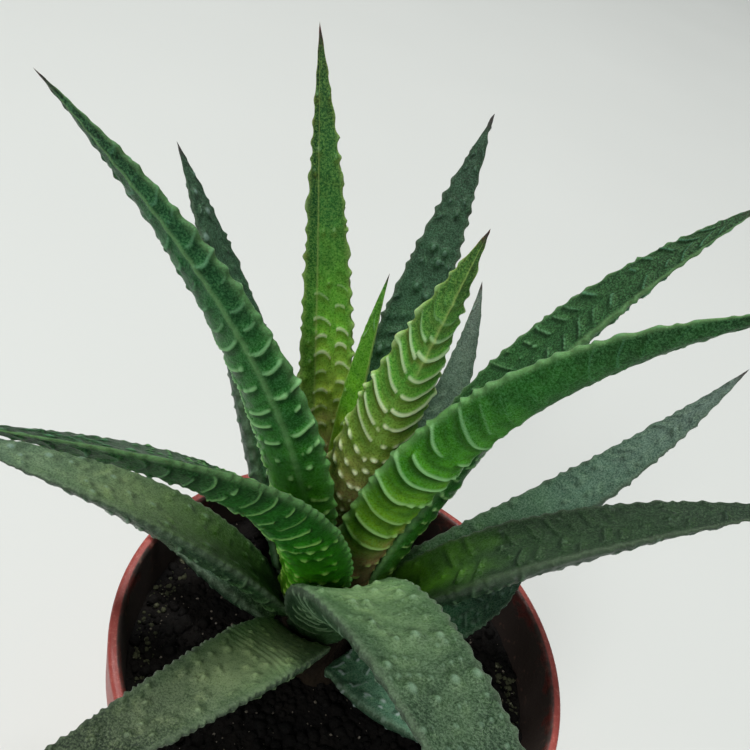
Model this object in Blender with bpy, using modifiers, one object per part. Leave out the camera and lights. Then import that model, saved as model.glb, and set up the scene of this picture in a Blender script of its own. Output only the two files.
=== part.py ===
"""A potted haworthia: a rosette of long, fleshy, tapering leaves on a short stem, in peat in a round
plastic nursery pot.

Metres, +Z up. The origin is the centre of the pot's flat base, and +Y is the back of the plant.
Each leaf is a closed sphere drawn out along its own curved spine. Leaves, stem, soil and pot are
separate pieces that almost touch: every meeting face keeps the same small gap.
"""

import math
from dataclasses import dataclass

import bmesh
import bpy
from mathutils import Matrix, Vector

MM = 0.001

# Fit between pieces that touch
GAP = 0.3 * MM

# Pot: a thin tapered shell with a thicker rim band and drain holes in its floor
POT_HEIGHT = 75 * MM
POT_RIM_DIAMETER = 90 * MM
POT_BASE_DIAMETER = 63 * MM
POT_WALL = 1.4 * MM
POT_FLOOR = 1.6 * MM
RIM_BAND_HEIGHT = 11 * MM
RIM_BAND_THICKNESS = 2.2 * MM
DRAIN_HOLES = 6
DRAIN_HOLE_DIAMETER = 7 * MM
DRAIN_RING_DIAMETER = 42 * MM

# Soil: how far its surface lies below the rim, and how far its edge is worn down at the wall
SOIL_BELOW_RIM = 10 * MM
SOIL_EDGE_DROP = 1.5 * MM

# Stem: stands off centre in the pot, tilts to the back left, and carries every leaf
STEM_OFFSET_X = -7 * MM
STEM_OFFSET_Y = 3 * MM
STEM_TILT = 20
STEM_TILT_TOWARDS = 125
STEM_RADIUS = 7.0 * MM
STEM_TOP_ABOVE_RIM = 18 * MM
STEM_DOME = 1.6
ROOT_DEPTH = 22 * MM
ROOT_SHOULDER = 0.45
ROOT_TIP_RADIUS = 2.5 * MM

# Leaves: sizes that every leaf shares. Shares of a length run from 0 at the base to 1 at the tip
LEAF_BASE_THICKNESS = 2.4 * MM
LEAF_BASE_WIDTH = 0.80
LEAF_WIDEST_AT = 0.28
LEAF_TAPER = 1.65
LEAF_THINNING = 1.6
LEAF_END_ROUNDING = 0.02
LEAF_KEEL = 0.35
LEAF_FACE_SHARE = 0.35
LEAF_CHANNEL_RADIUS = 0.9
LEAF_SIDES = 12
LEAF_RINGS = 20
YOUNG_GREEN = (0.10, 0.30, 0.02)
OLD_GREEN = (0.035, 0.10, 0.05)


@dataclass
class Leaf:
    """One leaf. Angles are in degrees and sizes in millimetres.

    around  where it leaves the stem, measured from +X towards +Y
    height  where its base sits, above the pot's rim
    rise    its slope at the base and at the tip, up from level
    lean    how far it turns aside at the base and at the tip, anticlockwise seen from above
    twist   how far its face is rolled about its own length at the base and at the tip
    thickness  through its middle where it is widest, without the keel
    """

    name: str
    around: float
    height: float
    length: float
    width: float
    rise: tuple
    lean: tuple
    twist: tuple = (0, 0)
    thickness: float = 4.4


LEAVES = [
    Leaf("leaf_heart", 66, 17.8, 55, 5.4, (92, 84), (14, 2), (0, 0), 2.4),
    Leaf("leaf_inner_front", 287, 15.5, 72, 13.0, (94, 87), (1, 7), (0, 0), 3.6),
    Leaf("leaf_centre", 119, 13.4, 95, 10.0, (74, 80), (6, 15), (15, 25), 3.8),
    Leaf("leaf_upper_left", 227, 11.5, 99, 15.0, (83, 42), (-4, -40), (-12, -30), 3.6),
    Leaf("leaf_arching_right", 323, 9.0, 98, 15.0, (95, 41), (5, 13), (0, 45), 4.0),
    Leaf("leaf_back", 84, 8.1, 94, 14.0, (60, 58), (7, 0), (0, 0), 4.0),
    Leaf("leaf_left_arching", 253, 5.2, 90, 15.5, (84, 12), (4, -46), (0, -20), 3.4),
    Leaf("leaf_upper_right", 6, 3.0, 105, 15.5, (84, 50), (24, 2), (0, -25), 5.0),
    Leaf("leaf_back_left", 160, 7.0, 85, 14.0, (56, 44), (-12, -5)),
    Leaf("leaf_front", 298, -0.6, 106, 18.0, (88, -42), (-16, 24), (0, 0), 4.4),
    Leaf("leaf_right_back", 38, -1.4, 93, 12.5, (38, 48), (-11, 4), (0, 0), 4.2),
    Leaf("leaf_left_low", 220, 3.0, 72, 13.5, (52, -4), (-20, -34), (0, 0), 4.0),
    Leaf("leaf_back_short", 94, 1.0, 74, 10.5, (49, 47), (-28, 7)),
    Leaf("leaf_right_level", 353, -0.5, 89, 16.0, (60, 10), (12, 28)),
    Leaf("leaf_front_left", 262, -2.8, 78, 13.5, (57, -20), (-2, -40), (0, 0), 3.8),
    Leaf("leaf_front_under", 316, -6.2, 40, 12.0, (11, 5), (10, 50)),
    Leaf("leaf_right_under", 20, -5.2, 39, 14.0, (6, 40), (-8, 25), (0, 0), 3.6),
    Leaf("leaf_back_low", 122, -3.0, 50, 12.0, (30, 5), (0, 0)),
    Leaf("leaf_back_left_low", 174, -3.0, 32, 10.0, (26, 0), (0, 0)),
    Leaf("leaf_back_right_low", 72, -4.0, 34, 10.0, (18, 0), (0, 0)),
]


def clear_scene():
    for obj in list(bpy.data.objects):
        bpy.data.objects.remove(obj, do_unlink=True)


def material(name, colour, roughness, metallic=0.0):
    """A Principled BSDF of one plain finish."""
    made = bpy.data.materials.new(name)
    made.use_nodes = True
    shader = made.node_tree.nodes["Principled BSDF"]
    shader.inputs["Base Color"].default_value = (*colour, 1.0)
    shader.inputs["Roughness"].default_value = roughness
    shader.inputs["Metallic"].default_value = metallic
    return made


def add_object(name, mesh, collection, finish=None):
    obj = bpy.data.objects.new(name, mesh)
    collection.objects.link(obj)
    if finish is not None:
        mesh.materials.append(finish)
    return obj


def turned(name, profile, collection, finish, steps=48):
    """A solid turned round +Z from (radius, height) points that run down its outside."""
    mesh = bpy.data.meshes.new(name)
    points = [(radius, 0.0, height) for radius, height in profile]
    edges = [(i, i + 1) for i in range(len(points) - 1)]
    mesh.from_pydata(points, edges, [])
    obj = add_object(name, mesh, collection, finish)
    screw = obj.modifiers.new("turn", "SCREW")
    screw.steps = steps
    screw.render_steps = steps
    screw.use_merge_vertices = True
    screw.merge_threshold = 0.00005
    screw.use_smooth_shade = True
    return obj


def cut(obj, cutter):
    """Takes a hidden cutter out of an object."""
    cutter.hide_render = True
    cutter.display_type = "WIRE"
    boolean = obj.modifiers.new("cut", "BOOLEAN")
    boolean.operation = "DIFFERENCE"
    boolean.object = cutter


def pot_outer_radius(height):
    """The wall's outer radius below the rim band, where it tapers evenly to the base."""
    top = POT_RIM_DIAMETER / 2 - (RIM_BAND_THICKNESS - POT_WALL)
    base = POT_BASE_DIAMETER / 2
    return base + (top - base) * height / POT_HEIGHT


def pot_inner_radius(height):
    return pot_outer_radius(height) - POT_WALL


def build_pot(collection, cutters):
    band_foot = POT_HEIGHT - RIM_BAND_HEIGHT
    rim = POT_RIM_DIAMETER / 2
    edge = RIM_BAND_THICKNESS / 4
    profile = [
        (0.0, POT_FLOOR),
        (pot_inner_radius(POT_FLOOR), POT_FLOOR),
        (pot_inner_radius(POT_HEIGHT - edge), POT_HEIGHT - edge),
        (pot_inner_radius(POT_HEIGHT) + edge, POT_HEIGHT),
        (rim - edge, POT_HEIGHT),
        (rim, POT_HEIGHT - edge),
        (rim - edge, band_foot + edge),
        (rim - edge - edge, band_foot),
        (pot_outer_radius(band_foot), band_foot),
        (pot_outer_radius(0.0), 0.0),
        (0.0, 0.0),
    ]
    finish = material("terracotta_plastic", (0.33, 0.075, 0.045), 0.55)
    pot = turned("pot", profile, collection, finish, 64)
    for hole in range(DRAIN_HOLES):
        angle = 2 * math.pi * hole / DRAIN_HOLES
        bm = bmesh.new()
        radius = DRAIN_HOLE_DIAMETER / 2
        bmesh.ops.create_cone(
            bm, cap_ends=True, segments=20, radius1=radius, radius2=radius, depth=4 * POT_FLOOR
        )
        mesh = bpy.data.meshes.new(f"drain_cutter_{hole + 1}")
        bm.to_mesh(mesh)
        bm.free()
        cutter = add_object(mesh.name, mesh, cutters)
        ring = DRAIN_RING_DIAMETER / 2
        cutter.location = (ring * math.cos(angle), ring * math.sin(angle), POT_FLOOR / 2)
        cut(pot, cutter)
    return pot


def stem_matrix():
    """Stands the stem's own axis, whose zero is level with the rim, where it belongs in the pot."""
    place = Matrix.Translation((STEM_OFFSET_X, STEM_OFFSET_Y, POT_HEIGHT))
    towards = math.radians(STEM_TILT_TOWARDS)
    hinge = Vector((-math.sin(towards), math.cos(towards), 0.0))
    return place @ Matrix.Rotation(math.radians(STEM_TILT), 4, hinge)


def stem_radius(height):
    """The stem's radius at a height above the rim: a column below, a narrowing dome above."""
    top = STEM_TOP_ABOVE_RIM / MM
    if height <= 0:
        return STEM_RADIUS
    return STEM_RADIUS * math.sqrt(max(0.0, 1 - (height / top) ** STEM_DOME))


def root_ends():
    """Heights above the rim where the root starts to narrow and where it ends."""
    soil = -SOIL_BELOW_RIM
    return soil - ROOT_SHOULDER * ROOT_DEPTH, soil - ROOT_DEPTH


def build_soil(collection, cutters):
    """Peat that fills the pot, with a socket for the stem and its roots."""
    floor = POT_FLOOR + GAP
    level = POT_HEIGHT - SOIL_BELOW_RIM
    radius = pot_inner_radius(level) - GAP
    profile = [
        (0.0, level),
        (radius - 2 * SOIL_EDGE_DROP, level),
        (radius, level - SOIL_EDGE_DROP),
        (pot_inner_radius(floor) - GAP, floor),
        (0.0, floor),
    ]
    soil = turned("soil", profile, collection, material("peat", (0.012, 0.009, 0.007), 0.95))
    shoulder, tip = root_ends()
    shape = [
        (0.0, STEM_RADIUS),
        (STEM_RADIUS + GAP, STEM_RADIUS),
        (STEM_RADIUS + GAP, shoulder),
        (ROOT_TIP_RADIUS + GAP, tip - GAP),
        (0.0, tip - GAP),
    ]
    socket = turned("stem_socket_cutter", shape, cutters, None)
    socket.matrix_world = stem_matrix()
    cut(soil, socket)
    return soil


def build_stem(collection):
    """The short stem with its main root, which the leaves grow round."""
    profile = []
    steps = 9
    for step in range(steps + 1):
        height = STEM_TOP_ABOVE_RIM / MM * math.cos(step / steps * math.pi / 2)
        profile.append((stem_radius(height) if step else 0.0, height * MM))
    shoulder, tip = root_ends()
    profile += [(STEM_RADIUS, shoulder), (ROOT_TIP_RADIUS, tip), (0.0, tip)]
    stem = turned("stem", profile, collection, material("stem_bark", (0.16, 0.09, 0.04), 0.8), 24)
    stem.matrix_world = stem_matrix()
    return stem


def blend(pair, t):
    return pair[0] + (pair[1] - pair[0]) * t


def leaf_direction(leaf, t):
    """(direction, face normal) of the spine at t, which runs from 0 at the base to 1 at the tip."""
    around = math.radians(leaf.around)
    rise = math.radians(blend(leaf.rise, t))
    lean = math.radians(blend(leaf.lean, t))
    outward = Vector((math.cos(around), math.sin(around), 0.0))
    aside = Vector((-math.sin(around), math.cos(around), 0.0))
    up = Vector((0.0, 0.0, 1.0))
    climb = math.cos(rise) * outward + math.sin(rise) * up
    direction = math.cos(lean) * climb + math.sin(lean) * aside
    normal = math.cos(rise) * up - math.sin(rise) * outward
    return direction, normal


def leaf_spine(leaf, stations):
    """Points along the middle of a leaf, from its seat on the stem to its tip."""
    around = math.radians(leaf.around)
    seat = stem_radius(leaf.height) + GAP + LEAF_FACE_SHARE * LEAF_BASE_THICKNESS
    turned_out = Vector((math.cos(around), math.sin(around), 0.0))
    point = stem_matrix() @ Vector((0.0, 0.0, leaf.height * MM))
    axis = stem_matrix().to_3x3() @ Vector((0.0, 0.0, 1.0))
    point += seat * (turned_out - axis * turned_out.dot(axis)).normalized()
    spine = [point.copy()]
    for start, end in zip(stations, stations[1:]):
        direction, _ = leaf_direction(leaf, (start + end) / 2)
        point += direction * leaf.length * MM * (end - start)
        spine.append(point.copy())
    return spine


def end_rounding(t):
    """Rounds off the very end that sits on the stem."""
    return min(1.0, math.sqrt(t / LEAF_END_ROUNDING))


def leaf_width(leaf, t):
    if t < LEAF_WIDEST_AT:
        share = LEAF_BASE_WIDTH + (1 - LEAF_BASE_WIDTH) * math.sin(math.pi / 2 * t / LEAF_WIDEST_AT)
    else:
        share = 1 - ((t - LEAF_WIDEST_AT) / (1 - LEAF_WIDEST_AT)) ** LEAF_TAPER
    return leaf.width * MM * share * end_rounding(t)


def leaf_thickness(leaf, t):
    grown = min(1.0, t / LEAF_WIDEST_AT)
    slimmed = LEAF_BASE_THICKNESS + (leaf.thickness * MM - LEAF_BASE_THICKNESS) * grown
    if t > LEAF_WIDEST_AT:
        slimmed *= 1 - ((t - LEAF_WIDEST_AT) / (1 - LEAF_WIDEST_AT)) ** LEAF_THINNING
    return slimmed * end_rounding(t)


def leaf_finish(leaf):
    """Young leaves near the top are a bright yellow-green, and the lowest are a dull dark green."""
    lowest = min(other.height for other in LEAVES)
    highest = max(other.height for other in LEAVES)
    youth = (leaf.height - lowest) / (highest - lowest)
    colour = [blend(pair, youth) for pair in zip(OLD_GREEN, YOUNG_GREEN)]
    return material(leaf.name + "_skin", colour, 0.5)


def build_leaf(leaf, collection, finish):
    """A sphere whose poles become the leaf's seat and tip, and whose rings become its sections."""
    bm = bmesh.new()
    bmesh.ops.create_uvsphere(bm, u_segments=LEAF_SIDES, v_segments=LEAF_RINGS, radius=1.0)
    stations = [(1 - math.cos(math.pi * ring / LEAF_RINGS)) / 2 for ring in range(LEAF_RINGS + 1)]
    spine = leaf_spine(leaf, stations)
    seat_radius = stem_radius(leaf.height) + GAP + LEAF_BASE_THICKNESS
    for vert in bm.verts:
        ring = round(math.acos(max(-1.0, min(1.0, -vert.co.z))) / math.pi * LEAF_RINGS)
        t = stations[ring]
        angle = math.atan2(vert.co.y, vert.co.x)
        if ring in (0, LEAF_RINGS):
            across, through = 0.0, 0.0
        else:
            across = leaf_width(leaf, t) / 2 * math.cos(angle)
            through = leaf_thickness(leaf, t) * math.sin(angle)
            if through > 0:
                through *= LEAF_FACE_SHARE
            else:
                through *= 1 - LEAF_FACE_SHARE + LEAF_KEEL * (1 - abs(math.cos(angle)))
        flat_radius = LEAF_CHANNEL_RADIUS * leaf.width * MM
        bend_radius = seat_radius + (flat_radius - seat_radius) * min(1.0, t / LEAF_WIDEST_AT)
        turn = across / bend_radius
        sideways = (bend_radius - through) * math.sin(turn)
        upwards = bend_radius - (bend_radius - through) * math.cos(turn)
        direction, normal = leaf_direction(leaf, t)
        aside = normal.cross(direction)
        twist = math.radians(blend(leaf.twist, t))
        face = normal * math.cos(twist) + aside * math.sin(twist)
        side = aside * math.cos(twist) - normal * math.sin(twist)
        vert.co = spine[ring] + side * sideways + face * upwards
    mesh = bpy.data.meshes.new(leaf.name)
    bm.to_mesh(mesh)
    bm.free()
    mesh.shade_smooth()
    return add_object(leaf.name, mesh, collection, finish)


def main():
    clear_scene()
    plant = bpy.data.collections.new("potted_haworthia")
    cutters = bpy.data.collections.new("cutters")
    bpy.context.scene.collection.children.link(plant)
    bpy.context.scene.collection.children.link(cutters)
    build_pot(plant, cutters)
    build_soil(plant, cutters)
    build_stem(plant)
    for leaf in LEAVES:
        build_leaf(leaf, plant, leaf_finish(leaf))


main()
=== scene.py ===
"""The looks of the potted haworthia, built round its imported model.

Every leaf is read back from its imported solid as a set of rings, drawn out again as a fine skin,
and given its ridges, rows of dots and marginal teeth as real relief. Lengths are in metres, and the
sizes of the patterns on the leaves in millimetres.
"""

import math
from collections import namedtuple
from itertools import product

import bmesh
import bpy
import numpy as np
from mathutils import Matrix, Vector


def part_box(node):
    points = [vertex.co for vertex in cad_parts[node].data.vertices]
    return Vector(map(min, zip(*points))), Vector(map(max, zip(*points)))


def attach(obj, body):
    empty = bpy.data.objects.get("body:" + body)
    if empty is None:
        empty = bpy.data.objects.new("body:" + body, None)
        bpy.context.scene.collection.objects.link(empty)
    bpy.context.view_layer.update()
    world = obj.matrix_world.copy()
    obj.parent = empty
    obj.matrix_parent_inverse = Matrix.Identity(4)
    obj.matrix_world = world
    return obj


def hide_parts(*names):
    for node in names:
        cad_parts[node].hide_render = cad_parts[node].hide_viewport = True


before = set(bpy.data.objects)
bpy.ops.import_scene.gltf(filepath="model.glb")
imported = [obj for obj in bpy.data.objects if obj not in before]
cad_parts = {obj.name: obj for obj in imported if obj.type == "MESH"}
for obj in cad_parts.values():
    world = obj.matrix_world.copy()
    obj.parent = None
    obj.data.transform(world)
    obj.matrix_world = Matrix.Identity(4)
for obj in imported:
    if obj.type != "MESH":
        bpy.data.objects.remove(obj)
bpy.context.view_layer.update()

MM = 0.001
BODY = "root"

# The camera, in the row frame: it looks down on the rosette from the front left
CAMERA_AT = (-0.0124, -0.0982, 0.208)
CAMERA_RIGHT = (0.939, 0.203, 0.278)
CAMERA_FORWARD = (0.0, 0.808, -0.589)
CAMERA_LENS = 38.4
CAMERA_SENSOR = 36.0

# Sizes of the pot and its filling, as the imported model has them
RIM_BAND_THICKNESS = 2.2 * MM
RIM_BAND_HEIGHT = 11 * MM
POT_WALL = 1.4 * MM
POT_FLOOR = 1.6 * MM
DRAIN_HOLES = 6
DRAIN_HOLE_RADIUS = 3.5 * MM
DRAIN_RING_RADIUS = 21 * MM
POT_FOOT_RADIUS = 31.5 * MM
FIT_GAP = 0.3 * MM
RING = 12  # points in each ring of a packed leaf
FULL_TURN = 2 * math.pi


# ---------- numbers


def lattice(ix, iy, iz, seed):
    """A repeatable number from 0 to 1 for each lattice point; its products may wrap round."""
    mixed = (ix * 374761393 + iy * 668265263 + iz * 2147483647 + seed * 1274126177) & 0xFFFFFFFF
    mixed = ((mixed ^ (mixed >> 13)) * 1103515245) & 0xFFFFFFFF
    mixed = ((mixed ^ (mixed >> 15)) * 2246822519) & 0xFFFFFFFF
    return ((mixed ^ (mixed >> 16)) & 0xFFFFFF) / float(0xFFFFFF)


def noise(x, y, z=0.0, seed=0):
    """Smooth value noise from 0 to 1 on a unit lattice."""
    x, y, z = np.broadcast_arrays(*(np.asarray(a, float) for a in (x, y, z)))
    corner = [np.floor(a).astype(np.int64) for a in (x, y, z)]
    blend = [a - c for a, c in zip((x, y, z), corner)]
    blend = [b * b * b * (b * (b * 6 - 15) + 10) for b in blend]
    total = np.zeros(x.shape)
    for offset in product((0, 1), repeat=3):
        share = np.ones(x.shape)
        for b, d in zip(blend, offset):
            share = share * (b if d else 1 - b)
        total += share * lattice(*(c + d for c, d in zip(corner, offset)), seed)
    return total


def cloud(x, y, z, seed, octaves=3):
    """Layered noise round zero, about -1 to 1."""
    total, scale, size = 0.0, 1.0, 1.0
    for octave in range(octaves):
        total = total + size * (2 * noise(x * scale, y * scale, z * scale, seed + octave) - 1)
        scale, size = scale * 2.03, size * 0.5
    return total / 1.4


def smooth_step(low, high, value):
    share = np.clip((value - low) / (high - low), 0, 1)
    return share * share * (3 - 2 * share)


def bell(value, width):
    return np.exp(-((value / width) ** 2))


def spline(stations, values, wanted):
    """A natural cubic spline through rows of values at the stations, read at the wanted places."""
    count = len(stations)
    gap = np.diff(stations)
    slope = np.diff(values, axis=0) / gap[:, None]
    system = np.eye(count)
    right = np.zeros_like(values)
    for k in range(1, count - 1):
        system[k, k - 1 : k + 2] = gap[k - 1], 2 * (gap[k - 1] + gap[k]), gap[k]
        right[k] = 6 * (slope[k] - slope[k - 1])
    curve = np.linalg.solve(system, right)
    at = np.clip(np.searchsorted(stations, wanted) - 1, 0, count - 2)
    step = gap[at][:, None]
    before = (wanted - stations[at])[:, None]
    after = (stations[at + 1] - wanted)[:, None]
    bent = curve[at] * after**3 / (6 * step) + curve[at + 1] * before**3 / (6 * step)
    start = (values[at] / step - curve[at] * step / 6) * after
    end = (values[at + 1] / step - curve[at + 1] * step / 6) * before
    return bent + start + end


# ---------- meshes


def link(name, data):
    made = bpy.data.objects.new(name, data)
    bpy.context.scene.collection.objects.link(made)
    return made


def dress(name, mesh, finish, stands_for=()):
    """Links a mesh as a piece of the object that rides on its body."""
    made = link(name, mesh)
    mesh.materials.append(finish)
    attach(made, BODY)
    if stands_for:
        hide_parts(*stands_for)
    return made


def mesh_from(name, points, quads, triangles=()):
    """A mesh from arrays of points, four-sided faces and three-sided faces."""
    mesh = bpy.data.meshes.new(name)
    quads = np.asarray(quads, np.int32).reshape(-1, 4)
    triangles = np.asarray(triangles, np.int32).reshape(-1, 3)
    mesh.vertices.add(len(points))
    mesh.vertices.foreach_set("co", np.asarray(points, np.float32).ravel())
    mesh.loops.add(quads.size + triangles.size)
    mesh.loops.foreach_set("vertex_index", np.concatenate([quads.ravel(), triangles.ravel()]))
    mesh.polygons.add(len(quads) + len(triangles))
    starts = np.concatenate(
        [np.arange(len(quads)) * 4, quads.size + np.arange(len(triangles)) * 3]
    ).astype(np.int32)
    mesh.polygons.foreach_set("loop_start", starts)
    mesh.update(calc_edges=True)
    mesh.validate()
    mesh.shade_smooth()
    return mesh


def corners_of(mesh):
    """A mesh's vertices as rows of x, y and z."""
    flat = np.empty(len(mesh.vertices) * 3, np.float32)
    mesh.vertices.foreach_get("co", flat)
    return flat.reshape(-1, 3)


def angles(steps):
    return np.arange(steps) / steps * FULL_TURN


def give(mesh, **layers):
    """Stores a number on every vertex under each name, for the materials to read."""
    for name, values in layers.items():
        layer = mesh.attributes.new(name, "FLOAT", "POINT")
        layer.data.foreach_set("value", np.asarray(values, np.float32).ravel())


def grid_faces(rows, columns):
    """Quads of a tube of rows of points that each close on themselves."""
    row, column = np.meshgrid(np.arange(rows - 1), np.arange(columns), indexing="ij")
    beside = (column + 1) % columns
    return np.stack(
        [
            row * columns + column,
            row * columns + beside,
            (row + 1) * columns + beside,
            (row + 1) * columns + column,
        ],
        axis=-1,
    ).reshape(-1, 4)


def outward_mesh(mesh):
    """Turns a closed mesh's faces outward."""
    bm = bmesh.new()
    bm.from_mesh(mesh)
    if bm.calc_volume(signed=True) < 0:
        bmesh.ops.reverse_faces(bm, faces=bm.faces)
        bm.to_mesh(mesh)
    bm.free()


def closed_tube(name, rings, start, end):
    """A closed mesh from rings of points, with each end drawn together to one point."""
    rows, columns = rings.shape[:2]
    count = rows * columns
    column = np.arange(columns)
    beside = (column + 1) % columns
    last = count - columns
    caps = np.concatenate(
        [
            np.stack([beside, column, np.full(columns, count)], axis=1),
            np.stack([last + column, last + beside, np.full(columns, count + 1)], axis=1),
        ]
    )
    points = np.vstack([rings.reshape(-1, 3), start, end])
    mesh = mesh_from(name, points, grid_faces(rows, columns), caps)
    outward_mesh(mesh)
    return mesh


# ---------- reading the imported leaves


def node_graph(name):
    """(points, neighbours of each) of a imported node, with points that coincide merged."""
    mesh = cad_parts[name].data
    rounded = np.round(corners_of(mesh).astype(float), 7)
    points, index = np.unique(rounded, axis=0, return_inverse=True)
    index = index.reshape(-1)
    near = [set() for _ in points]
    for face in mesh.polygons:
        corners = {int(index[v]) for v in face.vertices}
        for corner in corners:
            near[corner] |= corners - {corner}
    return points, near


def walk_ring(level, near):
    """The points of a level in order round the leaf, or None where the level isn't a ring."""
    inside = set(level)
    ring = [min(level)]
    while len(ring) < len(level):
        onward = [n for n in sorted(near[ring[-1]] & inside) if n not in ring]
        if not onward:
            return None
        ring.append(onward[0])
    return ring if ring[0] in near[ring[-1]] else None


def leaf_rings(name, stem_points):
    """The seat, the rings of 12 points from there to near the tip, and the tip.

    In each ring, points 0 and 6 are the margins, 3 the middle of the upper face and 9 the middle of
    the lower face.
    """
    points, near = node_graph(name)
    ends = [i for i in range(len(points)) if len(near[i]) >= RING]
    seat = min(ends, key=lambda i: np.linalg.norm(stem_points - points[i], axis=1).min())
    depth, order = {seat: 0}, [seat]
    for point in order:
        for other in near[point]:
            if other not in depth:
                depth[other] = depth[point] + 1
                order.append(other)
    levels = {}
    for point, level in depth.items():
        levels.setdefault(level, []).append(point)
    tip = points[max(depth, key=lambda i: (depth[i], np.linalg.norm(points[i] - points[seat])))]
    rings = []
    for level in range(1, max(levels) + 1):
        ring = walk_ring(levels[level], near) if len(levels[level]) == RING else None
        if ring is None:
            break
        rings.append(points[ring])
    middles = [ring.mean(axis=0) for ring in rings] + [tip]
    sorted_rings = []
    for ring, middle, onward in zip(rings, middles, middles[1:]):
        widest = max(range(6), key=lambda i: np.linalg.norm(ring[i] - ring[i + 6]))
        ring = np.roll(ring, -widest, axis=0)
        chord = (ring[0] + ring[6]) / 2
        if np.linalg.norm(ring[3] - chord) > np.linalg.norm(ring[9] - chord):
            ring = np.roll(ring, 6, axis=0)
        side = np.cross(ring[3] - ring[9], onward - middle)
        if np.dot(ring[0] - ring[6], side) < 0:
            ring = np.roll(ring[::-1], 7, axis=0)
        sorted_rings.append(ring)
    return points[seat], np.array(sorted_rings), tip


def upsample(ring, sides):
    """Rings of 12 points turned into smooth rings of many."""
    waves = np.fft.rfft(ring, axis=1)
    padded = np.zeros((ring.shape[0], sides // 2 + 1, 3), complex)
    padded[:, :6] = waves[:, :6]
    padded[:, 6] = waves[:, 6] / 2
    return np.fft.irfft(padded, sides, axis=1) * sides / ring.shape[1]


# ---------- relief on the leaves


# How unevenly the rows run: shares of the space between them
ROW_WANDER, ROW_SHIFT, ROW_STAGGER = 0.5, 0.28, 0.37
# Millimetres: half-widths of a ridge's base side and tip side, of its pale line, and between dots
STEEP_SIDE, GENTLE_SIDE, PALE_LINE, DOT_PITCH = 0.30, 0.95, 0.30, 1.5
DOT_SHARE = 0.30  # a dot's half-width, as a share of the space between dots
# Shares of half the face
TOOTHED_EDGE, FOLD_WIDTH, KEEL_WIDTH, COG_WIDTH = 0.075, 0.035, 0.05, 0.09
# Millimetres: where half the leaf is narrower than these, its relief and its teeth shrink
FULL_RELIEF_HALF, FULL_TEETH_HALF = 2.2, 3.0


def ridge_rows(s, x, half, spec, seed):
    """(height, pale, hollow, swell), each 0 to 1, of rows of ridges across one face of a leaf.

    s is millimetres along the leaf, x runs from -1 to 1 across the face and half is half the face's
    width in millimetres. A row is steep on its base side and slopes off gently towards the tip.
    """
    pitch = spec["pitch"]
    height, pale, hollow, swell = (np.zeros(s.shape) for _ in range(4))
    for number, (start, end, bow, slant, strength) in enumerate(spec["bands"]):
        middle, reach = (start + end) / 2, (end - start) / 2
        y = (x - middle) / reach
        inside = smooth_step(1.12, 0.94, np.abs(y))
        rise = bow * np.abs(np.clip(y, -1.3, 1.3)) ** 2.2 + slant * y
        wander = noise(x * 1.6 + 9 * number, s / pitch / 2.3, seed * 1.7, seed) - 0.5
        phase = (s - rise) / pitch + ROW_WANDER * wander + ROW_STAGGER * number
        row = np.floor(phase)
        whole = row.astype(np.int64)
        shift = ROW_SHIFT * (lattice(whole, number, 0, seed) - 0.5)
        d = (phase - row - 0.5 - shift) * pitch
        across = y * reach * half
        steep, gentle = spec.get("steep", STEEP_SIDE), spec.get("gentle", GENTLE_SIDE)
        bead = bell(d, steep)
        crest = np.where(d < 0, bead, 0.55 * bead + 0.45 * bell(d, gentle))
        line = bell(d, spec.get("line", PALE_LINE))
        # Painted shade: a dark band below each ridge's steep side, and a weaker one past its gentle
        # side
        shade = bell(d + steep * 2.4, steep * 1.6)
        shade = np.maximum(shade, 0.5 * bell(d - 1.5 * gentle, 0.5 * gentle))
        # Rows break into dots, stop short of an end, or drop out in places
        dot_pitch = spec.get("dot_pitch", DOT_PITCH)
        cell = across / dot_pitch + 5 * lattice(whole, 7, 0, seed + 3)
        away = (cell - np.floor(cell) - 0.5) * dot_pitch
        dot = bell(away, DOT_SHARE * dot_pitch) * bell(d, 0.50) / 0.9
        dotted = spec["dots"](s) + 0.9 * (noise(row * 3.3, y * 1.1, 0, seed + 5) - 0.5)
        dotted = dotted + spec.get("fray", 0.0) * y
        dotted = smooth_step(0.40, 0.60, dotted)
        broken = noise(across * 0.42 + row * 11.3, row * 0.71, 0, seed + 8)
        kept = smooth_step(spec["gaps"] - 0.06, spec["gaps"] + 0.06, broken)
        first = -1.05 + spec["short"] * lattice(whole, 4, number, seed)
        last = 1.05 - spec["short"] * lattice(whole, 5, number, seed)
        kept = kept * smooth_step(first - 0.05, first + 0.07, y)
        kept = kept * smooth_step(last + 0.05, last - 0.07, y)
        power = strength * (0.6 + 0.4 * lattice(whole, 2, 0, seed + 11))
        power = power * kept * inside * spec["fade"](s)
        height = np.maximum(height, power * (crest * (1 - dotted) + dot * dotted))
        pale = np.maximum(pale, power * (line * (1 - dotted) + dot * dotted))
        hollow = np.maximum(hollow, power * shade * (1 - 0.5 * dotted))
        # Painted highlight on the swelling past each ridge, on its tip side
        plump = bell(d - 0.9, 0.9) * smooth_step(1.0, 0.5, np.abs(y))
        swell = np.maximum(swell, power * plump)
    return height, pale * spec["light"], hollow, swell


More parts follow.
